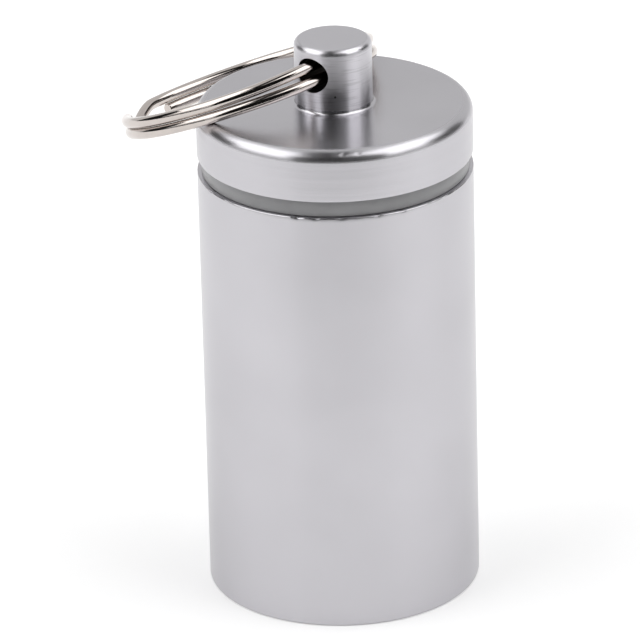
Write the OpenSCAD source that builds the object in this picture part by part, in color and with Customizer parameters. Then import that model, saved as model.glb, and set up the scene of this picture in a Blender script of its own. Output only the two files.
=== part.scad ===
// Pill fob keychain: a turned aluminium canister with a screw cap, a flat seal and a split ring.
// Millimetres. The origin is the middle of the flat base, +Z runs up through the cap,
// and the cross hole for the split ring runs along Y. Each module is one separate piece.

/* [Canister] */
// Outer diameter of the canister and the cap
outer_d = 26; // [25:0.5:32]
// Height of the canister from its base to its rim
canister_h = 41.9; // [30:0.1:60]
// Thickness of the floor
floor_t = 2; // [1.5:0.1:3]
// Bevel round the base edge
base_edge = 0.2; // [0.1:0.05:0.5]
// Bevel round the outside of the mouth
rim_edge = 0.1; // [0.05:0.05:0.3]

/* [Screw thread] */
// Rise of the thread in one turn
thread_pitch = 1.5; // [1.5:0.25:2]
// Metal outside the deepest part of the inner thread
thread_wall = 1.9; // [1.5:0.1:2.2]
// Depth of the thread that is cut in the canister
thread_depth = 6.3; // [5:0.1:8]
// Free play between the two threads along the axis, on each side of a ridge
flank_play = 0.12; // [0.1:0.01:0.15]

/* [Seal] */
// Height of the groove that the flat seal fills
seal_groove = 1.6; // [1.2:0.1:2.4]
// How far the seal stands back from the outside of the canister
seal_inset = 0.4; // [0.2:0.05:0.8]

/* [Cap] */
// Height of the cap's flange
flange_h = 4.9; // [4:0.1:7]
// Radius of the rounded top edge of the flange
flange_round = 1.1; // [0.5:0.1:1.5]
// Length of the threaded plug below the flange
plug_length = 6.5; // [5.5:0.1:8]
// Depth of the hollow in the underside of the plug
recess_depth = 6; // [4:0.1:7]
// Thickness of the plug's wall, inside its thread
plug_wall = 2.05; // [1.5:0.05:3]

/* [Key boss] */
// Diameter of the round boss on top of the cap
boss_d = 7.3; // [6.8:0.1:9]
// Height of the boss above the flange
boss_h = 6.35; // [6:0.05:7]
// Radius of the rounded top edge of the boss
boss_round = 0.6; // [0.3:0.1:0.8]
// Diameter of the cross hole through the boss
eye_d = 3.4; // [3.4:0.05:3.8]
// Height of the cross hole above the flange
eye_rise = 3.75; // [3.7:0.05:4]

/* [Split ring] */
// Outer diameter of the split ring
ring_od = 25; // [24:0.5:28]
// Diameter of its wire
wire_d = 1.08; // [0.9:0.02:1.1]
// Open gap between the two turns
turn_gap = 0.42; // [0.41:0.01:0.45]
// Distance of the ring's middle from the middle of the cross hole
ring_reach = 11.2; // [11.15:0.05:11.4]
// Angle that the ring hangs below level at rest, with the wire on the cap's rounded edge
ring_droop = 22.7; // [18:0.1:22.7]
// Turn of the resting ring about the vertical, out of line with the cross hole
ring_yaw = -4.5; // [-5:0.5:0]
// Place of the wire's cut end, as an angle round the ring from the cross hole
cut_angle = 174; // [150:1:240]
// Stretch of the ring over which the wire steps from one turn to the other
step_angle = 16; // [16:4:24]

/* [Hidden] */
$fn = 96;

// Heights, from the base upward
seal_gap = 0.03;
flange_z = canister_h + seal_groove;
top_z = flange_z + flange_h;
boss_top_z = top_z + boss_h;
eye_z = top_z + eye_rise;
plug_z = flange_z - plug_length;
roof_z = plug_z + recess_depth;

// Radii of the two thread forms: the pitch line lies between the plug's core and the inner root
outer_r = outer_d / 2;
root_r = outer_r - thread_wall;
core_r = root_r - 1.05;
bore_r = core_r + 0.15;
pitch_r = root_r - 0.55;
outer_crest_r = root_r - 0.2;
inner_crest_r = core_r + 0.25;
recess_r = core_r - plug_wall;
thread_steps = 36;
// Half the width of a ridge on the pitch line, and how much wider it gets per millimetre of depth
ridge_half = thread_pitch / 4 - flank_play / 2;
flank_slope = tan(30);
// How far a ridge is buried in the wall that carries it
ridge_root = 0.15;
mouth_bevel = 0.3;
inner_corner = 0.5;
plug_bevel = 0.3;
boss_fillet = 0.3;
flange_edge = 0.12;

// The split ring's wire
wire_r = wire_d / 2;
coil_r = ring_od / 2 - wire_r;
turn_rise = wire_d + turn_gap;
wire_sides = 8;
ring_step = 4;
turn_angle = 360 - step_angle;
ring_count = (2 * turn_angle + step_angle) / ring_step;

// Points of an arc, counted from angle a to angle b in the given number of steps
function arc(centre, r, a, b, steps = 8) =
    [for (i = [0 : steps]) centre + r * [cos(a + (b - a) * i / steps), sin(a + (b - a) * i / steps)]];

// One cross-section of a helical ridge at an angle round the axis.
// The ridge's height grows from nothing to full over an eighth of a turn at either end.
function ridge_section(angle, z, foot_r, crest_r, share) =
    let (top_r = foot_r + (crest_r - foot_r) * (0.2 + 0.8 * share),
         foot_half = ridge_half + abs(foot_r - pitch_r) * flank_slope,
         top_half = ridge_half + (foot_half - ridge_half) * (pitch_r - top_r) / (pitch_r - foot_r))
    [for (p = [[foot_r, -foot_half], [top_r, -top_half], [top_r, top_half], [foot_r, foot_half]])
        [p[0] * cos(angle), p[0] * sin(angle), z + p[1]]];

// A right-hand ridge from height low to height high, whose phase puts its middle at height phase where angle is 0
module ridge(low, high, phase, foot_r, crest_r) {
    first = ceil((low - phase) / thread_pitch * thread_steps);
    count = floor((high - phase) / thread_pitch * thread_steps) - first;
    run_in = thread_steps / 8;
    sections = [for (i = [0 : count])
        ridge_section((first + i) * 360 / thread_steps, phase + (first + i) * thread_pitch / thread_steps,
                      foot_r, crest_r, min(1, min(i, count - i) / run_in))];
    outward = crest_r > foot_r;
    skin = [for (i = [0 : count - 1], j = [0 : 3])
        let (a = 4 * i + j, b = 4 * i + (j + 1) % 4, c = a + 4, d = b + 4)
        each [[a, b, c], [b, d, c]]];
    last = 4 * count;
    ends = [[0, 2, 1], [0, 3, 2], [last, last + 1, last + 2], [last, last + 2, last + 3]];
    faces = concat(skin, ends);
    polyhedron(points = [for (s = sections) each s],
               faces = outward ? faces : [for (f = faces) [f[2], f[1], f[0]]]);
}

module canister() {
    profile = concat(
        [[0, 0], [outer_r - base_edge, 0], [outer_r, base_edge], [outer_r, canister_h - rim_edge],
         [outer_r - rim_edge, canister_h], [root_r + mouth_bevel, canister_h], [root_r, canister_h - mouth_bevel],
         [root_r, canister_h - thread_depth - 1], [bore_r, canister_h - thread_depth - 1.9]],
        arc([bore_r - inner_corner, floor_t + inner_corner], inner_corner, 0, -90),
        [[0, floor_t]]);
    color("silver") union() {
        rotate_extrude() polygon(profile);
        ridge(low = canister_h - thread_depth, high = canister_h - mouth_bevel - 0.7,
              phase = thread_pitch / 2, foot_r = root_r + ridge_root, crest_r = inner_crest_r);
    }
}

module seal_gasket() {
    inner_r = core_r + 0.25;
    wide = outer_r - seal_inset - inner_r;
    tall = seal_groove - 2 * seal_gap;
    color("gray") rotate_extrude() translate([inner_r, canister_h + seal_gap]) square([wide, tall]);
}

module cap() {
    boss_r = boss_d / 2;
    profile = concat(
        [[0, roof_z], [recess_r, roof_z], [recess_r, plug_z], [core_r - plug_bevel, plug_z],
         [core_r, plug_z + plug_bevel], [core_r, flange_z], [outer_r - flange_edge, flange_z],
         [outer_r, flange_z + flange_edge]],
        arc([outer_r - flange_round, top_z - flange_round], flange_round, 0, 90, 12),
        arc([boss_r + boss_fillet, top_z + boss_fillet], boss_fillet, 270, 180, 6),
        arc([boss_r - boss_round, boss_top_z - boss_round], boss_round, 0, 90, 8),
        [[0, boss_top_z]]);
    color("silver") difference() {
        union() {
            rotate_extrude() polygon(profile);
            ridge(low = plug_z + 0.9, high = canister_h - 0.9,
                  phase = 0, foot_r = core_r - ridge_root, crest_r = outer_crest_r);
        }
        translate([0, 0, eye_z]) rotate([90, 0, 0]) cylinder(h = 2 * boss_d, d = eye_d, center = true);
    }
}

// Height of the wire in the ring at a running angle: lower turn, step, upper turn
function wire_height(run) =
    let (t = min(1, max(0, (run - turn_angle) / step_angle)))
    turn_rise * (t * t * (3 - 2 * t) - 0.5);

// Middle of the wire at a running angle from its lower cut end
function wire_point(run) =
    let (angle = cut_angle - 360 + run)
    [coil_r * cos(angle), -coil_r * sin(angle), wire_height(run)];

// One cross-section of the wire, square to its own direction
function wire_section(run) =
    let (p = wire_point(run),
         d = wire_point(run + 0.5) - wire_point(run - 0.5),
         along = d / norm(d),
         out = [p[0], p[1], 0] / coil_r,
         up = cross(along, out))
    [for (k = [0 : wire_sides - 1])
        p + wire_r * (cos(360 * k / wire_sides) * out + sin(360 * k / wire_sides) * up)];

// The least gap between the two turns, measured from point to point along the wire
wire_points = [for (i = [0 : ring_count]) wire_point(i * ring_step)];
half_turn = 180 / ring_step;
least_gap = min([for (i = [0 : ring_count - half_turn], j = [i + half_turn : ring_count])
    norm(wire_points[i] - wire_points[j])]) - wire_d;
echo(str("split_ring: least gap of the wire to itself, mm: ", least_gap));

module split_ring() {
    rings = [for (i = [0 : ring_count]) wire_section(i * ring_step)];
    skin = [for (i = [0 : ring_count - 1], j = [0 : wire_sides - 1])
        let (a = wire_sides * i + j, b = wire_sides * i + (j + 1) % wire_sides, c = a + wire_sides, d = b + wire_sides)
        each [[a, b, c], [b, d, c]]];
    last = wire_sides * ring_count;
    first_end = [for (j = [1 : wire_sides - 2]) [0, j + 1, j]];
    last_end = [for (j = [1 : wire_sides - 2]) [last, last + j, last + j + 1]];
    color("lightgray")
        translate([0, 0, eye_z]) rotate([0, 0, ring_yaw]) rotate([0, -ring_droop, 0]) translate([-ring_reach, 0, 0])
            polyhedron(points = [for (r = rings) each r], faces = concat(skin, first_end, last_end));
}

canister();
cap();
seal_gasket();
split_ring();
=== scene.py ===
# %% [markdown]
# # A pill fob keychain
# The object is a small turned aluminium canister with a screw cap, a flat rubber seal in the
# groove between them, and a split ring through a boss on top of the cap. The CAD model already
# fixes every size and joint, so this script only gives each piece its finish and its fine shape.

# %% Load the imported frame
import math

import bmesh
import bpy
from mathutils import Matrix, Vector, noise


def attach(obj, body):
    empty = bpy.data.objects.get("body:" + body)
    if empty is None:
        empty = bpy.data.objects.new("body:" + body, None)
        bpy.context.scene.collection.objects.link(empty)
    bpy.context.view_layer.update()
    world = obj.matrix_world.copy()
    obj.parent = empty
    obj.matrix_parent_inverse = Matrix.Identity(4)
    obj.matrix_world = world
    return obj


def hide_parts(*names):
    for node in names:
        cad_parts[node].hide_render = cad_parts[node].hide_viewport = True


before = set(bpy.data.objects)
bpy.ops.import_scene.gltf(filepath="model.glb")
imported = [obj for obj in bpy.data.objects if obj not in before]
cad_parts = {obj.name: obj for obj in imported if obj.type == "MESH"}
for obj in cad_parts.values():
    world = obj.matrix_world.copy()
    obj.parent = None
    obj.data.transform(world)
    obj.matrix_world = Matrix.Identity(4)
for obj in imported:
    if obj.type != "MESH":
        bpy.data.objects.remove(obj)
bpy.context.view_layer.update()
MM = 0.001
scene = bpy.context.scene
print("CAD nodes:", sorted(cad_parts))

# %% [markdown]
# ## The camera
# A product photographer stands far back with a long lens, so that the sides of a small cylinder
# stay nearly parallel. The camera here is 600 mm from the axis, looks down by about 24 degrees,
# and is rolled a little, because the photographed object leans slightly in its frame. Its numbers
# came from matching the ellipses of the base, the rim and the cap.

# %% Camera
IMAGE_SIZE = 640
FOCAL_PIXELS = 6312.9
SENSOR_WIDTH = 36.0
CAMERA_DISTANCE = 600 * MM
CAMERA_AIM_HEIGHT = 26 * MM
CAMERA_AZIMUTH = math.radians(35.5)
CAMERA_ELEVATION = math.radians(23.755)
CAMERA_TILT = math.radians(23.752)
CAMERA_PAN = -0.0033
CAMERA_ROLL = math.radians(-1.414)
CLIP_NEAR = 0.05
CLIP_FAR = 20


def make_camera():
    """Puts the camera where the photographer's stood, turned round the vertical by its azimuth."""
    turn = Matrix.Rotation(CAMERA_AZIMUTH, 3, "Z")
    level = CAMERA_DISTANCE * math.cos(CAMERA_ELEVATION)
    height = CAMERA_AIM_HEIGHT + CAMERA_DISTANCE * math.sin(CAMERA_ELEVATION)
    ahead = Vector(
        (
            math.sin(CAMERA_PAN) * math.cos(CAMERA_TILT),
            math.cos(CAMERA_PAN) * math.cos(CAMERA_TILT),
            -math.sin(CAMERA_TILT),
        )
    )
    right = Vector((math.cos(CAMERA_PAN), -math.sin(CAMERA_PAN), 0))
    up = right.cross(ahead)
    rolled_right = right * math.cos(CAMERA_ROLL) + up * math.sin(CAMERA_ROLL)
    rolled_up = up * math.cos(CAMERA_ROLL) - right * math.sin(CAMERA_ROLL)
    axes = Matrix((turn @ rolled_right, turn @ rolled_up, turn @ -ahead)).transposed()
    data = bpy.data.cameras.new("camera")
    data.sensor_width = SENSOR_WIDTH
    data.lens = FOCAL_PIXELS / IMAGE_SIZE * SENSOR_WIDTH
    data.clip_start = CLIP_NEAR
    data.clip_end = CLIP_FAR
    camera = bpy.data.objects.new("camera", data)
    place = turn @ Vector((0, -level, height))
    camera.matrix_world = Matrix.Translation(place) @ axes.to_4x4()
    scene.collection.objects.link(camera)
    scene.camera = camera
    return camera


camera = make_camera()
print("lens, mm:", round(camera.data.lens, 1))

# %% [markdown]
# ## Shaping helpers
# Everything on this object came off a lathe, and Blender's lathe is the spin operator: a few
# points beside the axis are swept round it. The points only mark the sharp corners. The rounded
# and broken edges are cut afterwards with the bevel operator, just as a lathe hand would run a
# file along them.

# %% Lathe
STEPS = 384
WELD = 0.0001 * MM


def lathe(corners, steps=STEPS):
    """Sweeps corners, given as (radius, height) in mm, once round the axis."""
    bm = bmesh.new()
    points = [bm.verts.new((r * MM, 0, z * MM)) for r, z in corners]
    lines = [bm.edges.new(pair) for pair in zip(points, points[1:])]
    if corners[0][0] > 0:
        lines.append(bm.edges.new((points[-1], points[0])))
    bmesh.ops.spin(
        bm,
        geom=points + lines,
        cent=(0, 0, 0),
        axis=(0, 0, 1),
        angle=math.tau,
        steps=steps,
        use_merge=True,
        use_duplicate=False,
    )
    bmesh.ops.remove_doubles(bm, verts=bm.verts, dist=WELD)
    bmesh.ops.recalc_face_normals(bm, faces=bm.faces)
    return bm


print("steps round the axis:", STEPS)

# %% Rounded and broken edges
NEAR = 0.004 * MM


def circle_edges(bm, radius, height):
    """The edges of one turned corner, found by its radius and height in mm."""

    def on_it(v):
        far = math.hypot(v.co.x, v.co.y) - radius * MM
        return abs(far) < NEAR and abs(v.co.z - height * MM) < NEAR

    return [e for e in bm.edges if on_it(e.verts[0]) and on_it(e.verts[1])]


def round_off(bm, radius, height, size, segments):
    """Rounds or breaks the turned corner at that radius and height. Sizes are in mm."""
    bmesh.ops.bevel(
        bm,
        geom=circle_edges(bm, radius, height),
        offset=size * MM,
        offset_type="OFFSET",
        affect="EDGES",
        segments=segments,
        profile=0.5,
        material=-1,
    )


print("corners are found to within, mm:", NEAR / MM)

# %% Objects and modifiers


def make_object(bm, name):
    """Turns a bmesh into an object at the origin, with smooth faces."""
    mesh = bpy.data.meshes.new(name)
    for face in bm.faces:
        face.smooth = True
    bm.to_mesh(mesh)
    bm.free()
    made = bpy.data.objects.new(name, mesh)
    scene.collection.objects.link(made)
    return made


def bake_modifiers(made):
    """Applies an object's modifiers to its mesh."""
    bpy.context.view_layer.update()
    depsgraph = bpy.context.evaluated_depsgraph_get()
    mesh = bpy.data.meshes.new_from_object(made.evaluated_get(depsgraph))
    made.modifiers.clear()
    made.data = mesh


def combine(made, tool, operation):
    """Joins a tool to an object, or cuts the object with it, and throws the tool away."""
    change = made.modifiers.new("combine", "BOOLEAN")
    change.operation = operation
    change.object = tool
    change.solver = "EXACT"
    bake_modifiers(made)
    bpy.data.objects.remove(tool)


print("modifiers are applied at once, so each mesh is final")

# %% Creases


def mark_sharp(made, degrees):
    """Keeps a crease where faces meet at more than an angle, and shades the rest smooth.
    The weighted normals keep flat faces flat beside a small rounded edge."""
    bm = bmesh.new()
    bm.from_mesh(made.data)
    limit = math.radians(degrees)
    for edge in bm.edges:
        edge.smooth = len(edge.link_faces) == 2 and edge.calc_face_angle() < limit
    for face in bm.faces:
        face.smooth = True
    bm.to_mesh(made.data)
    bm.free()
    weigh = made.modifiers.new("weigh", "WEIGHTED_NORMAL")
    weigh.keep_sharp = True
    bake_modifiers(made)


print("crease helper ready")

# %% [markdown]
# ## The screw thread
# A thread is one ridge that climbs as it goes round. A stack of plain rings would look alike from
# afar, but it could never screw in. The spin operator can climb: besides the turn it takes a step
# along the axis. A four-cornered section is swept that way, its two ends are thinned so that the
# thread starts and stops gently, and the finished ridge is joined to its wall.

# %% Thread ridge
PITCH = 1.5
RIDGE_STEPS = 96
RUN_INS_PER_TURN = 8
LEAST_RIDGE = 0.2
CORNER = "corner"


def thread_ridge(section, first_height, turns, name):
    """A climbing ridge. The section is four (radius, height) corners in mm: foot, crest, crest,
    foot. Each end grows from LEAST_RIDGE of the full depth to all of it."""
    bm = bmesh.new()
    layer = bm.verts.layers.int.new(CORNER)
    start_angle = math.tau * first_height / PITCH
    points = []
    for number, (r, z) in enumerate(section):
        place = (r * math.cos(start_angle), r * math.sin(start_angle), first_height + z)
        point = bm.verts.new(Vector(place) * MM)
        point[layer] = number
        points.append(point)
    lines = [bm.edges.new((points[i], points[(i + 1) % 4])) for i in range(4)]
    steps = round(turns * RIDGE_STEPS)
    ends = bmesh.ops.spin(
        bm,
        geom=points + lines,
        cent=(0, 0, 0),
        axis=(0, 0, 1),
        dvec=(0, 0, PITCH / RIDGE_STEPS * MM),
        angle=math.tau * turns,
        steps=steps,
        use_merge=False,
        use_duplicate=False,
    )
    last_points = [g for g in ends["geom_last"] if isinstance(g, bmesh.types.BMVert)]
    last_points.sort(key=lambda v: v[layer])
    bm.faces.new(points)
    bm.faces.new(last_points)
    foot = section[0][0]
    for v in bm.verts:
        r, z = section[v[layer]]
        run = (v.co.z / MM - first_height - z) / PITCH
        share = min(1, run * RUN_INS_PER_TURN, (turns - run) * RUN_INS_PER_TURN)
        if r != foot:
            wanted = foot + (r - foot) * (LEAST_RIDGE + (1 - LEAST_RIDGE) * max(0, share))
            v.co.xy *= wanted / r
    bmesh.ops.recalc_face_normals(bm, faces=bm.faces)
    return make_object(bm, name)


print("thread pitch, mm:", PITCH)

# %% [markdown]
# ## The canister
# The canister is a cup turned from bar: a flat base with a broken edge, a straight wall, and a
# wider mouth where the thread is cut. Cylinders cut from each other could make it, but every cut
# leaves its own ragged ring of points. One profile swept round the axis makes the inside and the
# outside together, and reads like the lathe hand's drawing. A key fob knocks against keys, and
# the thin outer edge of the mouth shows it first, so a few small nicks are pushed into that edge,
# over a waviness of two hundredths of a millimetre.

# %% Sizes of the canister
OUTER_R = 13.0
CANISTER_H = 41.9
ROOT_R = 11.1
BORE_R = 10.2
FLOOR = 2.0
BASE_EDGE = 0.2
RIM_EDGE = 0.1
INNER_CORNER = 0.5
MOUTH_BEVEL = 0.3
MOUTH_BAND = 0.4
THREAD_END = CANISTER_H - 6.3
THREAD_RELIEF = 1.0
SHOULDER = 0.9
INNER_RIDGE = [(11.25, -0.719), (10.3, -0.171), (10.3, 0.171), (11.25, 0.719)]
INNER_RIDGE_LIFT = 0.15
INNER_RIDGE_TURNS = 3.45
CREASE_ANGLE = 30
print("canister, mm:", 2 * OUTER_R, "across and", CANISTER_H, "high")

# %% Nicks in the rim
# Angle about the axis and half width in degrees, and depth in mm
NICKS = (
    (-118.4, 1.4, 0.09),
    (-70.8, 2.2, 0.06),
    (-63.3, 1.8, 0.05),
    (-52.4, 1.4, 0.05),
    (-37.1, 1.2, 0.05),
    (-26.2, 1.8, 0.06),
)
WAVE_DEPTH = 0.02
WAVE_LENGTH = 0.7
RIM_REACH = 0.2


def nick_rim(bm):
    """Knocks the nicks and a slight waviness into the outer edge of the mouth."""
    for v in bm.verts:
        far = math.hypot(v.co.x, v.co.y)
        if v.co.z < (CANISTER_H - RIM_REACH) * MM or far < (OUTER_R - RIM_REACH) * MM:
            continue
        angle = math.degrees(math.atan2(v.co.y, v.co.x))
        depth = WAVE_DEPTH * max(0, noise.noise(v.co / (WAVE_LENGTH * MM)))
        for middle, half, most in NICKS:
            depth = max(depth, most * (1 - ((angle - middle) / half) ** 2))
        v.co.z -= depth * MM
        v.co.xy *= 1 - depth * MM / far


print("nicks:", len(NICKS))

# %% Canister


def make_canister():
    """Turns the cup, nicks its rim, and adds the thread inside its mouth."""
    bm = lathe(
        [
            (0, 0),
            (OUTER_R, 0),
            (OUTER_R, CANISTER_H - MOUTH_BAND),
            (OUTER_R, CANISTER_H),
            (ROOT_R + MOUTH_BEVEL, CANISTER_H),
            (ROOT_R, CANISTER_H - MOUTH_BEVEL),
            (ROOT_R, THREAD_END - THREAD_RELIEF),
            (BORE_R, THREAD_END - THREAD_RELIEF - SHOULDER),
            (BORE_R, FLOOR),
            (0, FLOOR),
        ]
    )
    round_off(bm, OUTER_R, 0, BASE_EDGE, 3)
    round_off(bm, OUTER_R, CANISTER_H, RIM_EDGE, 3)
    round_off(bm, BORE_R, FLOOR, INNER_CORNER, 6)
    nick_rim(bm)
    shell = make_object(bm, "canister_shell")
    start = THREAD_END + INNER_RIDGE_LIFT
    ridge = thread_ridge(INNER_RIDGE, start, INNER_RIDGE_TURNS, "inner_ridge")
    ridge.data.transform(Matrix.Rotation(math.pi, 4, "Z"))
    combine(shell, ridge, "UNION")
    mark_sharp(shell, CREASE_ANGLE)
    return shell


canister = make_canister()
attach(canister, "canister")
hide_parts("canister")
print("canister faces:", len(canister.data.polygons))

# %% [markdown]
# ## The seal
# The seal is a flat rubber washer, cut from sheet, that sits in the groove a little inside the
# metal. A torus would be too round for it. Four corners swept round the axis give a closed washer
# at once, and because rubber has no crisp edge, each corner takes a small round.

# %% Seal
SEAL_GROOVE = 1.6
SEAL_GAP = 0.03
SEAL_LOW = CANISTER_H + SEAL_GAP
SEAL_HIGH = CANISTER_H + SEAL_GROOVE - SEAL_GAP
SEAL_INNER = 10.3
SEAL_OUTER = 12.6
SEAL_ROUND = 0.08
SEAL_STEPS = 256
SEAL_CREASE_ANGLE = 50


def make_seal():
    """Cuts the washer and softens its four edges."""
    bm = lathe(
        [
            (SEAL_INNER, SEAL_LOW),
            (SEAL_OUTER, SEAL_LOW),
            (SEAL_OUTER, SEAL_HIGH),
            (SEAL_INNER, SEAL_HIGH),
        ],
        steps=SEAL_STEPS,
    )
    for r in (SEAL_INNER, SEAL_OUTER):
        for z in (SEAL_LOW, SEAL_HIGH):
            round_off(bm, r, z, SEAL_ROUND, 3)
    washer = make_object(bm, "seal_washer")
    mark_sharp(washer, SEAL_CREASE_ANGLE)
    return washer


seal = make_seal()
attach(seal, "seal")
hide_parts("seal_gasket")
print("seal faces:", len(seal.data.polygons))

# %% [markdown]
# ## The cap
# The cap is one piece of bar: a flange with a well rounded top edge, a boss with a small round at
# its top and a fillet at its foot, and a threaded plug that is bored out underneath. All of that
# is round about the axis, so it is one profile again. The cross hole for the split ring isn't, so
# it is drilled afterwards as it would be in the workshop, by a boolean with a long cylinder. The
# flange's round has three small dents where keys have struck it.

# %% Sizes of the cap
FLANGE_Z = CANISTER_H + SEAL_GROOVE
FLANGE_EDGE = 0.12
TOP_Z = FLANGE_Z + 4.9
FLANGE_ROUND = 1.1
BOSS_R = 3.65
BOSS_TOP = TOP_Z + 6.35
BOSS_ROUND = 0.6
BOSS_FILLET = 0.3
EYE_Z = TOP_Z + 3.75
EYE_R = 1.7
CORE_R = 10.05
PLUG_Z = FLANGE_Z - 6.5
ROOF_Z = PLUG_Z + 6.0
RECESS_R = 8.0
PLUG_BEVEL = 0.3
OUTER_RIDGE = [(9.9, -0.69), (10.9, -0.113), (10.9, 0.113), (9.9, 0.69)]
OUTER_RIDGE_LIFT = 0.95
OUTER_RIDGE_TURNS = 2.0
print("top of the boss, mm:", round(BOSS_TOP, 2))

# %% Cross hole
DRILL_LENGTH = 14
DRILL_SIDES = 96


def drill_eye(cap):
    """Drills the cross hole along Y, straight through the boss."""
    bm = bmesh.new()
    bmesh.ops.create_cone(
        bm,
        cap_ends=True,
        segments=DRILL_SIDES,
        radius1=EYE_R * MM,
        radius2=EYE_R * MM,
        depth=DRILL_LENGTH * MM,
        matrix=Matrix.Translation((0, 0, EYE_Z * MM)) @ Matrix.Rotation(math.pi / 2, 4, "X"),
    )
    combine(cap, make_object(bm, "drill"), "DIFFERENCE")


print("cross hole, mm:", 2 * EYE_R)

# %% Dents in the round
# Angle about the axis and angle up the flange's round, in degrees
DENTS = ((-51.6, 47.5), (-44.8, 49), (-50.3, 52))
DENT_RADIUS = 0.2
DENT_DEPTH = 0.05


def dent_round(bm):
    """Presses the small dents into the flange's round."""
    inner = (OUTER_R - FLANGE_ROUND) * MM
    for about, up in DENTS:
        spin = Matrix.Rotation(math.radians(about), 3, "Z")
        normal = spin @ Vector((math.cos(math.radians(up)), 0, math.sin(math.radians(up))))
        centre = spin @ Vector((inner, 0, (TOP_Z - FLANGE_ROUND) * MM))
        place = centre + normal * FLANGE_ROUND * MM
        for v in bm.verts:
            share = (v.co - place).length / (DENT_RADIUS * MM)
            if share < 1:
                v.co -= normal * DENT_DEPTH * MM * (1 - share)


print("dents:", len(DENTS))

# %% Cap


def make_cap():
    """Turns the cap, dents its round, and adds the plug's thread and the cross hole."""
    bm = lathe(
        [
            (0, ROOF_Z),
            (RECESS_R, ROOF_Z),
            (RECESS_R, PLUG_Z),
            (CORE_R - PLUG_BEVEL, PLUG_Z),
            (CORE_R, PLUG_Z + PLUG_BEVEL),
            (CORE_R, FLANGE_Z),
            (OUTER_R, FLANGE_Z),
            (OUTER_R, TOP_Z),
            (BOSS_R, TOP_Z),
            (BOSS_R, BOSS_TOP),
            (0, BOSS_TOP),
        ]
    )
    round_off(bm, OUTER_R, FLANGE_Z, FLANGE_EDGE, 2)
    round_off(bm, OUTER_R, TOP_Z, FLANGE_ROUND, 14)
    dent_round(bm)
    round_off(bm, BOSS_R, TOP_Z, BOSS_FILLET, 6)
    round_off(bm, BOSS_R, BOSS_TOP, BOSS_ROUND, 10)
    cap = make_object(bm, "cap_turned")
    start = PLUG_Z + OUTER_RIDGE_LIFT
    combine(cap, thread_ridge(OUTER_RIDGE, start, OUTER_RIDGE_TURNS, "outer_ridge"), "UNION")
    drill_eye(cap)
    mark_sharp(cap, CREASE_ANGLE)
    return cap


cap = make_cap()
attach(cap, "cap")
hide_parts("cap")
print("cap faces:", len(cap.data.polygons))

# %% [markdown]
# ## The split ring
# The ring is one length of spring wire in two turns. The turns press together on the side away
# from the boss, and the hole spreads them a little on the other. Past the far side the wire steps
# from the lower turn up to the upper one, in the room between its two cut ends. A curve with a
# round bevel could be the wire, but its path would need hundreds of hand-set points. Here a
# formula gives the path, a round face is carried along it and extruded at each stop, and the cut
# ends are made a little smaller, for a broken edge.

# %% Sizes of the ring, in mm and in degrees round it from the hole
WIRE_R = 0.54
COIL_R = 12.06
RING_REACH = 11.3
RING_DROOP = math.radians(22.75)
RING_SAG = 0.3
RING_YAW = math.radians(-4.8)
TOUCHING = 2 * WIRE_R + 0.02
LOWER_LIFT = 0.09
UPPER_LIFT = 0.51
CLIMB_FROM = 152
CLIMB_TO = 174
LOWER_CUT = 182
UPPER_CUT = 141
CUT_ROUND = 0.35
CUT_SHRINK = 0.85
HOLE_FOCUS = 10
WIRE_SIDES = 28
WIRE_STEP = 1.5
SMALL_STEP = 0.25
RING_CREASE_ANGLE = 40
print("ring, mm:", round(2 * (COIL_R + WIRE_R), 2), "across, wire", 2 * WIRE_R)

# %% Path of the wire


def wire_height(run):
    """Height of the wire in mm, at a running angle in degrees round the ring from the hole."""
    share = min(1, max(0, (run - 360 - CLIMB_FROM) / (CLIMB_TO - CLIMB_FROM)))
    share = share * share * (3 - 2 * share)
    in_hole = ((1 + math.cos(math.radians(run))) / 2) ** HOLE_FOCUS
    lift = LOWER_LIFT + (UPPER_LIFT - LOWER_LIFT) * share
    return TOUCHING * (share - 0.5) + lift * in_hole


def wire_matrix(run, radius):
    """Carries a round face of radius 1 to its place on the wire."""

    def middle(at):
        turn = math.radians(at)
        return Vector((COIL_R * math.cos(turn), -COIL_R * math.sin(turn), wire_height(at)))

    along = (middle(run + SMALL_STEP) - middle(run - SMALL_STEP)).normalized()
    turn = math.radians(run)
    out = Vector((math.cos(turn), -math.sin(turn), 0))
    up = along.cross(out)
    axes = Matrix((out * radius, up * radius, along)).transposed()
    return Matrix.Translation(middle(run)) @ axes.to_4x4()


print("heights of the wire in the hole, mm:", [round(wire_height(run), 2) for run in (360, 720)])

# %% Split ring


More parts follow.
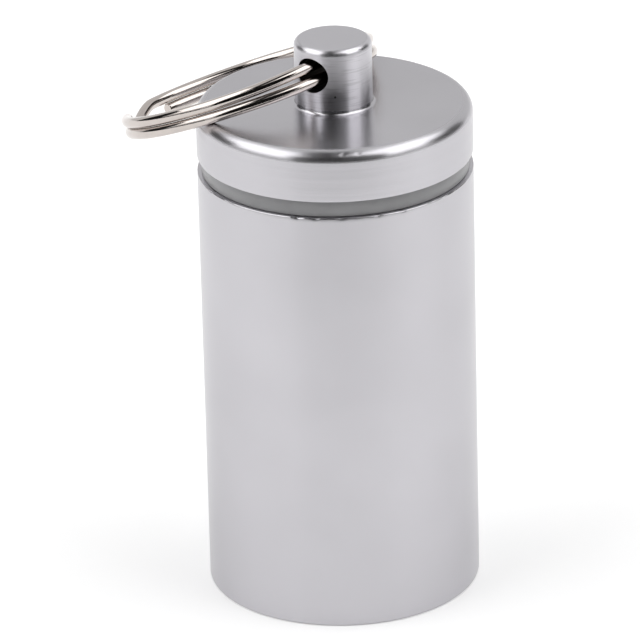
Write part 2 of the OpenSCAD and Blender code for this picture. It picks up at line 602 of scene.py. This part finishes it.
def make_ring():
    """Carries a round face along the wire's path, and hangs the ring in the cross hole. Each
    extrusion leaves its old face inside the wire, so all but the first, an end, are deleted."""
    hang = (
        Matrix.Translation((0, 0, (EYE_Z - RING_SAG) * MM))
        @ Matrix.Rotation(RING_YAW, 4, "Z")
        @ Matrix.Rotation(-RING_DROOP, 4, "Y")
        @ Matrix.Translation((-RING_REACH * MM, 0, 0))
        @ Matrix.Scale(MM, 4)
    )
    bm = bmesh.new()
    layer = bm.verts.layers.int.new(CORNER)
    made = bmesh.ops.create_circle(bm, cap_ends=True, segments=WIRE_SIDES, radius=1)
    rounds = [v.co.copy() for v in made["verts"]]
    for number, v in enumerate(made["verts"]):
        v[layer] = number
    face = bm.faces[:][0]
    first, last = LOWER_CUT, UPPER_CUT + 720
    steps = round((last - first) / WIRE_STEP)
    runs = [first + (last - first) * step / steps for step in range(1, steps)]
    runs = [first, first + CUT_ROUND] + runs + [last - CUT_ROUND, last]
    for stop, run in enumerate(runs):
        if stop > 0:
            grown = bmesh.ops.extrude_face_region(bm, geom=[face])
            if stop > 1:
                bmesh.ops.delete(bm, geom=[face], context="FACES_ONLY")
            face = [g for g in grown["geom"] if isinstance(g, bmesh.types.BMFace)][0]
        cut = run in (first, last)
        place = hang @ wire_matrix(run, WIRE_R * (CUT_SHRINK if cut else 1))
        for v in face.verts:
            v.co = place @ rounds[v[layer]]
    bmesh.ops.recalc_face_normals(bm, faces=bm.faces)
    made = make_object(bm, "ring_wire")
    mark_sharp(made, RING_CREASE_ANGLE)
    return made


ring = make_ring()
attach(ring, "ring")
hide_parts("split_ring")
print("ring faces:", len(ring.data.polygons))

# %% [markdown]
# ## Lathe lines
# A lathe tool leaves fine grooves that run all the way round, on the walls and on the flat faces.
# Noise whose coordinates are only the radius and the height has the same value right round the
# axis, so it draws exactly such lines. A picture wrapped round the metal could show them too, but
# it would blur close up and need a seam. The metal also mirrors its surroundings in its own way:
# it blurs them across the grooves and keeps them sharp along them, which is what anisotropy does.

# %% Plain nodes


def new_material(name):
    """A material with its nodes and links, ready to be wired."""
    material = bpy.data.materials.new(name)
    material.use_nodes = True
    return material, material.node_tree.nodes, material.node_tree.links


def feed(links, socket, value):
    """Gives a socket a value, or the output of another node."""
    if isinstance(value, bpy.types.NodeSocket):
        links.new(value, socket)
    else:
        socket.default_value = value


def math_node(nodes, links, operation, first, second):
    """A Math node whose inputs are numbers or sockets."""
    node = nodes.new("ShaderNodeMath")
    node.operation = operation
    feed(links, node.inputs[0], first)
    feed(links, node.inputs[1], second)
    return node.outputs["Value"]


def mix_node(nodes, links, kind, factor, first, second):
    """Blends two colours or two vectors, which are values or sockets."""
    node = nodes.new("ShaderNodeMix")
    node.data_type = kind
    links.new(factor, node.inputs["Factor"])
    feed(links, node.inputs["A"], first)
    feed(links, node.inputs["B"], second)
    return node.outputs["Result"]


def shade_of(colour, share):
    """A colour made lighter or darker."""
    return [c * share for c in colour[:3]] + [1]


print("half of white:", shade_of((1, 1, 1), 0.5))

# %% Texture nodes


def length_node(nodes, links, vector, scale):
    """The length of a vector after each of its parts is scaled."""
    scaled = nodes.new("ShaderNodeMapping")
    scaled.inputs["Scale"].default_value = scale
    links.new(vector, scaled.inputs["Vector"])
    length = nodes.new("ShaderNodeVectorMath")
    length.operation = "LENGTH"
    links.new(scaled.outputs["Vector"], length.inputs[0])
    return length.outputs["Value"]


def noise_node(nodes, links, vector, scale, detail):
    """Noise with so many features per metre. Detail adds finer and finer ones."""
    node = nodes.new("ShaderNodeTexNoise")
    node.inputs["Scale"].default_value = scale
    node.inputs["Detail"].default_value = detail
    links.new(vector, node.inputs["Vector"])
    return node.outputs["Fac"]


def range_node(nodes, links, value, low, high, to_low, to_high):
    """Carries a value from one range to another, and holds it at the ends."""
    node = nodes.new("ShaderNodeMapRange")
    node.inputs["From Min"].default_value = low
    node.inputs["From Max"].default_value = high
    node.inputs["To Min"].default_value = to_low
    node.inputs["To Max"].default_value = to_high
    links.new(value, node.inputs["Value"])
    return node.outputs["Result"]


def bump_node(nodes, links, height, distance, strength):
    """Tilts the surface as a relief would, with its depth in mm."""
    node = nodes.new("ShaderNodeBump")
    node.inputs["Distance"].default_value = distance * MM
    feed(links, node.inputs["Strength"], strength)
    links.new(height, node.inputs["Height"])
    return node.outputs["Normal"]


print("texture helpers ready")

# %% Coordinates of a turned piece
DRIFT = 0.01


def turned_vector(nodes, links):
    """Radius and height as coordinates, with hardly any change round the axis. The height and
    the place itself come with it."""
    where = nodes.new("ShaderNodeTexCoord").outputs["Object"]
    split = nodes.new("ShaderNodeSeparateXYZ")
    links.new(where, split.inputs["Vector"])
    joined = nodes.new("ShaderNodeCombineXYZ")
    links.new(length_node(nodes, links, where, (1, 1, 0)), joined.inputs["X"])
    links.new(split.outputs["Z"], joined.inputs["Y"])
    links.new(math_node(nodes, links, "MULTIPLY", split.outputs["X"], DRIFT), joined.inputs["Z"])
    return joined.outputs["Vector"], split.outputs["Z"], where


print("change round the axis:", DRIFT)

# %% [markdown]
# ## Turned aluminium
# The canister and the cap are the same bare, slightly satin aluminium, a pale grey with a touch
# of violet. Three things keep it from looking like plastic: the fine grooves as a bump, a
# roughness that changes from line to line, and a faint cloudiness where fingers have dulled it.
# The boss was turned more coarsely. Its wall is rougher, with scored lines whose darker colour is
# painted shade in their grooves, one pit painted as a dark spot of shade, and a colour made
# lighter as painted light. The wall of the cross hole is painted dark as shade. Its flat top has
# no grain that runs round, because the tool leaves almost none so near to the axis.

# %% Painted shade inside the drilled hole


def hole_shade_mask(nodes, links, where):
    """1 on the wall of the cross hole, which is painted dark as the shade inside the hole, and 0
    elsewhere.
    """
    lowered = nodes.new("ShaderNodeVectorMath")
    lowered.inputs[1].default_value = (0, 0, -EYE_Z * MM)
    links.new(where, lowered.inputs[0])
    away = length_node(nodes, links, lowered.outputs["Vector"], (1, 0, 1))
    radius = length_node(nodes, links, where, (1, 1, 0))
    near = range_node(nodes, links, away, (EYE_R + 0.03) * MM, (EYE_R + 0.05) * MM, 1, 0)
    within = range_node(nodes, links, radius, (BOSS_R - 0.15) * MM, (BOSS_R - 0.05) * MM, 1, 0)
    return math_node(nodes, links, "MULTIPLY", near, within)


print("hole radius, mm:", EYE_R)

# %% Regions of the cap


def height_mask(nodes, links, height, low, high):
    """Grows from 0 to 1 between two heights in mm."""
    return range_node(nodes, links, height, low * MM, high * MM, 0, 1)


def cap_regions(nodes, links, height):
    """Masks by height alone: all of the boss, its flat top, its wall, and the flange's round."""
    boss = height_mask(nodes, links, height, TOP_Z + 0.3, TOP_Z + 0.5)
    boss_face = height_mask(nodes, links, height, BOSS_TOP - 0.06, BOSS_TOP - 0.02)
    boss_wall = math_node(nodes, links, "SUBTRACT", boss, boss_face)
    low = height_mask(nodes, links, height, TOP_Z - 1.05, TOP_Z - 0.85)
    high = height_mask(nodes, links, height, TOP_Z - 0.06, TOP_Z - 0.01)
    on_round = math_node(nodes, links, "SUBTRACT", low, high)
    return boss, boss_face, boss_wall, on_round


print("flange's top and boss's top, mm:", TOP_Z, BOSS_TOP)

# %% Grain of the metal


def groove_tangent(nodes, links, boss_face):
    """The direction of the grooves: round the axis, and straight on the boss's flat top."""
    tangent = nodes.new("ShaderNodeTangent")
    tangent.direction_type = "RADIAL"
    tangent.axis = "Z"
    straight = nodes.new("ShaderNodeVectorTransform")
    straight.vector_type = "VECTOR"
    straight.convert_from = "OBJECT"
    straight.convert_to = "WORLD"
    straight.inputs["Vector"].default_value = (1, 0, 0)
    turned, across = tangent.outputs["Tangent"], straight.outputs["Vector"]
    return mix_node(nodes, links, "VECTOR", boss_face, turned, across)


print("grain helper ready")

# %% Marks on the boss
SCORE_SCALE = 6500
SCORE_STRETCH = (0.06, 0.06, 1)
SCORE_DEPTH = 0.18
# Dark colour painted as shade in the scored lines and the pit
SCORE_SHADE_COLOUR = (0.1, 0.1, 0.1, 1)
# Near black, painted as the shade inside the cross hole
HOLE_SHADE_COLOUR = (0.03, 0.029, 0.027, 1)
PIT_PLACE = (2.217 * MM, -2.9 * MM, 50.2 * MM)
PIT_INNER = 0.07
PIT_OUTER = 0.13
# Painted light: how much the boss wall's colour is raised
BOSS_PAINTED_LIGHT = 1.18


def boss_marks(nodes, links, where, boss_wall, metal):
    """Adds to the metal's colour: painted light on the boss wall, and painted shade in its scored
    lines, its pit and the cross hole.
    """
    # The scored lines are real marks; their dark colour is painted shade in their grooves.
    stretched = nodes.new("ShaderNodeMapping")
    stretched.inputs["Scale"].default_value = SCORE_STRETCH
    links.new(where, stretched.inputs["Vector"])
    brushed = noise_node(nodes, links, stretched.outputs["Vector"], SCORE_SCALE, 2)
    scored = range_node(nodes, links, brushed, 0.4, 0.65, -SCORE_DEPTH, SCORE_DEPTH)
    scored = math_node(nodes, links, "MULTIPLY", scored, boss_wall)

    # The pit is not in the mesh; a dark spot is painted as the shade in its hollow.
    pit = nodes.new("ShaderNodeVectorMath")
    pit.operation = "DISTANCE"
    pit.inputs[1].default_value = PIT_PLACE
    links.new(where, pit.inputs[0])
    away = pit.outputs["Value"]
    pit_shade = range_node(nodes, links, away, PIT_INNER * MM, PIT_OUTER * MM, 1, 0)
    line_and_pit_shade = math_node(nodes, links, "MAXIMUM", scored, pit_shade)

    # Painted light: the boss wall's colour is raised so that its reflection renders brighter;
    # clean is this brightened colour.
    brighter = nodes.new("ShaderNodeVectorMath")
    brighter.operation = "SCALE"
    links.new(metal, brighter.inputs[0])
    share = range_node(nodes, links, boss_wall, 0, 1, 1, BOSS_PAINTED_LIGHT)
    links.new(share, brighter.inputs["Scale"])
    clean = brighter.outputs["Vector"]
    outside = mix_node(nodes, links, "RGBA", line_and_pit_shade, clean, SCORE_SHADE_COLOUR)
    # The wall of the cross hole is painted near black, as painted shade inside the hole.
    inside = hole_shade_mask(nodes, links, where)
    return mix_node(nodes, links, "RGBA", inside, outside, HOLE_SHADE_COLOUR)


print("pit on the boss, mm:", [round(v / MM, 2) for v in PIT_PLACE])

# %% Aluminium
ALUMINIUM_COLOUR = (0.565, 0.555, 0.582, 1)
EDGE_TINT = (0.9, 0.9, 0.9, 1)
QUARTER_TURN = 0.25
FINE_SCALE = 1000
BROAD_SCALE = 250
CLOUD_SCALE = 90
FAINT_GROOVES = 0.03


def make_aluminium(name, roughness, spread, groove_size, groove_depth, is_cap):
    """Lathe-turned metal. The spread is the anisotropy. The cap's boss and round are rougher."""
    material, nodes, links = new_material(name)
    shader = nodes["Principled BSDF"]
    shader.inputs["Metallic"].default_value = 1
    shader.inputs["Anisotropic"].default_value = spread
    shader.inputs["Anisotropic Rotation"].default_value = QUARTER_TURN
    shader.inputs["Specular Tint"].default_value = EDGE_TINT
    turned, height, where = turned_vector(nodes, links)
    boss, boss_face, boss_wall, on_round = cap_regions(nodes, links, height)
    links.new(groove_tangent(nodes, links, boss_face), shader.inputs["Tangent"])

    fine = noise_node(nodes, links, turned, FINE_SCALE / groove_size, 3)
    broad = noise_node(nodes, links, turned, BROAD_SCALE / groove_size, 2)
    dulled = noise_node(nodes, links, where, CLOUD_SCALE, 3)

    swing = 0.015 if is_cap else 0.004
    lines = range_node(nodes, links, broad, 0.3, 0.7, roughness - swing, roughness + swing)
    cloud = range_node(nodes, links, dulled, 0.35, 0.7, -0.007, 0.008)
    rough = math_node(nodes, links, "ADD", lines, cloud)
    if is_cap:
        for region, more in ((boss, 0.07), (boss_face, 0.02), (on_round, 0.045)):
            added = math_node(nodes, links, "MULTIPLY", region, more)
            rough = math_node(nodes, links, "ADD", rough, added)
    links.new(rough, shader.inputs["Roughness"])

    share = range_node(nodes, links, dulled, 0.3, 0.7, 0, 1)
    clean, dull = shade_of(ALUMINIUM_COLOUR, 1.02), shade_of(ALUMINIUM_COLOUR, 0.97)
    colour = mix_node(nodes, links, "RGBA", share, clean, dull)
    if is_cap:
        colour = boss_marks(nodes, links, where, boss_wall, colour)
    links.new(colour, shader.inputs["Base Color"])

    strength = FAINT_GROOVES
    if is_cap:
        strength = range_node(nodes, links, boss_wall, 0, 1, FAINT_GROOVES, 1)
    normal = bump_node(nodes, links, fine, groove_depth, strength)
    links.new(normal, shader.inputs["Normal"])
    return material


canister.data.materials.append(
    make_aluminium("turned_aluminium_canister", 0.26, 0.75, 0.12, 0.0008, False)
)
cap.data.materials.append(make_aluminium("turned_aluminium_cap", 0.25, 0.8, 0.09, 0.003, True))
print("aluminium on:", canister.name, cap.name)

# %% [markdown]
# ## Rubber
# The seal is grey rubber with a fine grain and a little dust. Rubber reflects weakly from the
# front, so its shader has no metal in it. Its skin is fairly smooth and the dust on it catches
# light at a slant, so the roughness is moderate and a sheen brightens the two ends of the groove.
# One flat grey would look like a painted stripe, so the dust also changes the colour a little.

# %% Rubber
RUBBER_COLOUR = (0.305, 0.305, 0.312, 1)
GRAIN_SCALE = 6000
GRAIN_DEPTH = 0.01
DUST_SCALE = 350


def make_rubber():
    """Grey rubber with a fine grain, whose dust changes its colour and its gloss."""
    material, nodes, links = new_material("grey_rubber")
    shader = nodes["Principled BSDF"]
    shader.inputs["Sheen Weight"].default_value = 0.6
    shader.inputs["Sheen Roughness"].default_value = 0.35
    where = nodes.new("ShaderNodeTexCoord").outputs["Object"]
    grain = noise_node(nodes, links, where, GRAIN_SCALE, 2)
    dust = noise_node(nodes, links, where, DUST_SCALE, 4)
    share = range_node(nodes, links, dust, 0.35, 0.7, 0, 1)
    clean, dusty = shade_of(RUBBER_COLOUR, 0.93), shade_of(RUBBER_COLOUR, 1.08)
    links.new(mix_node(nodes, links, "RGBA", share, clean, dusty), shader.inputs["Base Color"])
    links.new(range_node(nodes, links, dust, 0.3, 0.7, 0.3, 0.45), shader.inputs["Roughness"])
    links.new(bump_node(nodes, links, grain, GRAIN_DEPTH, 0.4), shader.inputs["Normal"])
    return material


seal.data.materials.append(make_rubber())
print("rubber on:", seal.name)

# %% [markdown]
# ## Nickel-plated wire
# The ring is drawn spring wire with a bright nickel plate. It is a much better mirror than the
# turned metal and a little warmer in colour. A perfect mirror would look like glass at this size,
# so noise dulls and darkens it in faint rub marks, as where its turns slide on each other.

# %% Nickel
NICKEL_COLOUR = (0.59, 0.54, 0.51, 1)
RUB_SCALE = 700
PLATE_SCALE = 3000
PLATE_DEPTH = 0.002


def make_nickel():
    """Bright plate, a little darker and duller where it is rubbed, with the finest unevenness."""
    material, nodes, links = new_material("nickel_plate")
    shader = nodes["Principled BSDF"]
    shader.inputs["Metallic"].default_value = 1
    where = nodes.new("ShaderNodeTexCoord").outputs["Object"]
    rubbed = noise_node(nodes, links, where, RUB_SCALE, 4)
    uneven = noise_node(nodes, links, where, PLATE_SCALE, 2)
    share = range_node(nodes, links, rubbed, 0.35, 0.7, 0, 1)
    worn = shade_of(NICKEL_COLOUR, 0.93)
    colour = mix_node(nodes, links, "RGBA", share, NICKEL_COLOUR, worn)
    links.new(colour, shader.inputs["Base Color"])
    links.new(range_node(nodes, links, rubbed, 0.3, 0.75, 0.05, 0.16), shader.inputs["Roughness"])
    links.new(bump_node(nodes, links, uneven, PLATE_DEPTH, 0.3), shader.inputs["Normal"])
    return material


ring.data.materials.append(make_nickel())
print("nickel on:", ring.name)

# %% [markdown]
# ## Floor
# The object stands on a white sheet. Stronger lamps could burn the sheet out to white, but they
# would burn out the metal too. So the sheet's own colour makes the background: it is lit like the
# object, and a little is added for the rays that come from the camera or from a reflection. Open
# floor is then plain white, and the object's soft shadow stays.

# %% Floor
FLOOR_COLOUR = (0.9, 0.9, 0.9, 1)
FLOOR_LIFT = 0.25
FLOOR_HALF = 8
FLOOR_DROP = 0.02


def matt_material(name, colour):
    """A plain surface with no gloss, for things that aren't part of the object."""
    material, nodes, links = new_material(name)
    shader = nodes["Principled BSDF"]
    shader.inputs["Base Color"].default_value = colour
    shader.inputs["Roughness"].default_value = 1
    shader.inputs["Specular IOR Level"].default_value = 0
    return material, nodes, links


def make_floor():
    """The white sheet. It lies a hair below the base, so that the two never share a plane."""
    bm = bmesh.new()
    bmesh.ops.create_grid(bm, x_segments=1, y_segments=1, size=FLOOR_HALF)
    floor = make_object(bm, "floor")
    floor.location.z = -FLOOR_DROP * MM
    material, nodes, links = matt_material("white_sheet", FLOOR_COLOUR)
    path = nodes.new("ShaderNodeLightPath").outputs
    seen = math_node(nodes, links, "ADD", path["Is Camera Ray"], path["Is Glossy Ray"])
    seen = math_node(nodes, links, "ADD", seen, path["Is Transmission Ray"])
    lift = math_node(nodes, links, "MULTIPLY", seen, FLOOR_LIFT)
    shader = nodes["Principled BSDF"]
    shader.inputs["Emission Color"].default_value = (1, 1, 1, 1)
    links.new(lift, shader.inputs["Emission Strength"])
    floor.data.materials.append(material)
    return floor


floor = make_floor()
print("floor size, m:", round(floor.dimensions.x, 1))

# %% [markdown]
# ## Light
# The set is the plain one for small metal goods. A pale room lights everything evenly, and two
# soft boxes stand high on the left and the right. A mirror among only pale things shows no shape,
# so black cards stand round them: one behind the camera darkens the middle of the boss and of the
# cap's round, one hangs above the cap's top, two stand at the sides, and two low strips draw the
# thin dark lines along the groove and the ring. The front of the table is dark too. It is a card
# that only reflections meet, so that the sheet on the table stays lit and white.

# %% Studio
AIM_HEIGHT = 40 * MM
LAMP_LEVEL = 1.45

# Name, degrees to the camera's right, degrees up, metres away, width and height in metres
SOFT_BOXES = (
    ("soft_box_left", -77, 48, 1.3, 1.65, 1.2),
    ("soft_box_right", 78, 50, 1.3, 1.65, 1.2),
)
# The same, and then the card's shade
CARDS = (
    ("black_card_front", 3, 24, 1.15, 1.75, 1.5, 0.01),
    ("black_card_above", -24, 78, 1.25, 0.45, 1.0, 0.02),
    ("black_card_left", -112, 14, 1.15, 0.75, 0.85, 0.02),
    ("black_card_right", 108, 15, 1.15, 0.85, 0.9, 0.02),
    ("low_card_left", -72, 3, 1.25, 1.4, 0.3, 0.05),
    ("low_card_right", 68, 3, 1.25, 1.3, 0.3, 0.05),
    ("table_front", 0, 0, 0.7, 1.1, 0.95, 0.01),
)


def stand(thing, side, elevation, distance):
    """Stands a lamp or a card at its place, turned towards the object and unseen by the camera."""
    turn = CAMERA_AZIMUTH - math.pi / 2 + math.radians(side)
    level = math.cos(math.radians(elevation)) * distance
    up = math.sin(math.radians(elevation)) * distance
    place = Vector((math.cos(turn) * level, math.sin(turn) * level, up))
    aim = Vector((0, 0, AIM_HEIGHT)) - place
    thing.location = place
    thing.rotation_euler = aim.to_track_quat("-Z", "Y").to_euler()
    thing.visible_camera = False


def soft_box(name, side, elevation, distance, wide, tall):
    """An area lamp. Its level is the brightness that a mirror shows, where 1 is white."""
    data = bpy.data.lights.new(name, "AREA")
    data.shape = "RECTANGLE"
    data.size = wide
    data.size_y = tall
    data.energy = LAMP_LEVEL * math.pi * wide * tall
    lamp = bpy.data.objects.new(name, data)
    stand(lamp, side, elevation, distance)
    scene.collection.objects.link(lamp)


def dark_card(name, side, elevation, distance, wide, tall, shade):
    """A matt card that the metal mirrors."""
    bm = bmesh.new()
    bmesh.ops.create_grid(bm, x_segments=1, y_segments=1, size=0.5)
    bmesh.ops.scale(bm, vec=(wide, tall, 1), verts=bm.verts)
    card = make_object(bm, name)
    stand(card, side, elevation, distance)
    card.data.materials.append(matt_material(name, (shade, shade, shade, 1))[0])
    return card


for numbers in SOFT_BOXES:
    soft_box(*numbers)
cards = {numbers[0]: dark_card(*numbers) for numbers in CARDS}
print("cards:", len(cards))

# %% Table and room
TABLE_RISE = 0.5 * MM
ROOM_LEVEL = 0.75

table_front = cards["table_front"]
table_front.location.z = TABLE_RISE
table_front.rotation_euler = (0, 0, CAMERA_AZIMUTH)
table_front.visible_diffuse = False
table_front.visible_shadow = False

world = bpy.data.worlds.new("studio")
world.use_nodes = True
scene.world = world
room = world.node_tree.nodes["Background"]
room.inputs["Color"].default_value = (ROOM_LEVEL, ROOM_LEVEL, ROOM_LEVEL, 1)
scene.view_settings.view_transform = "Standard"
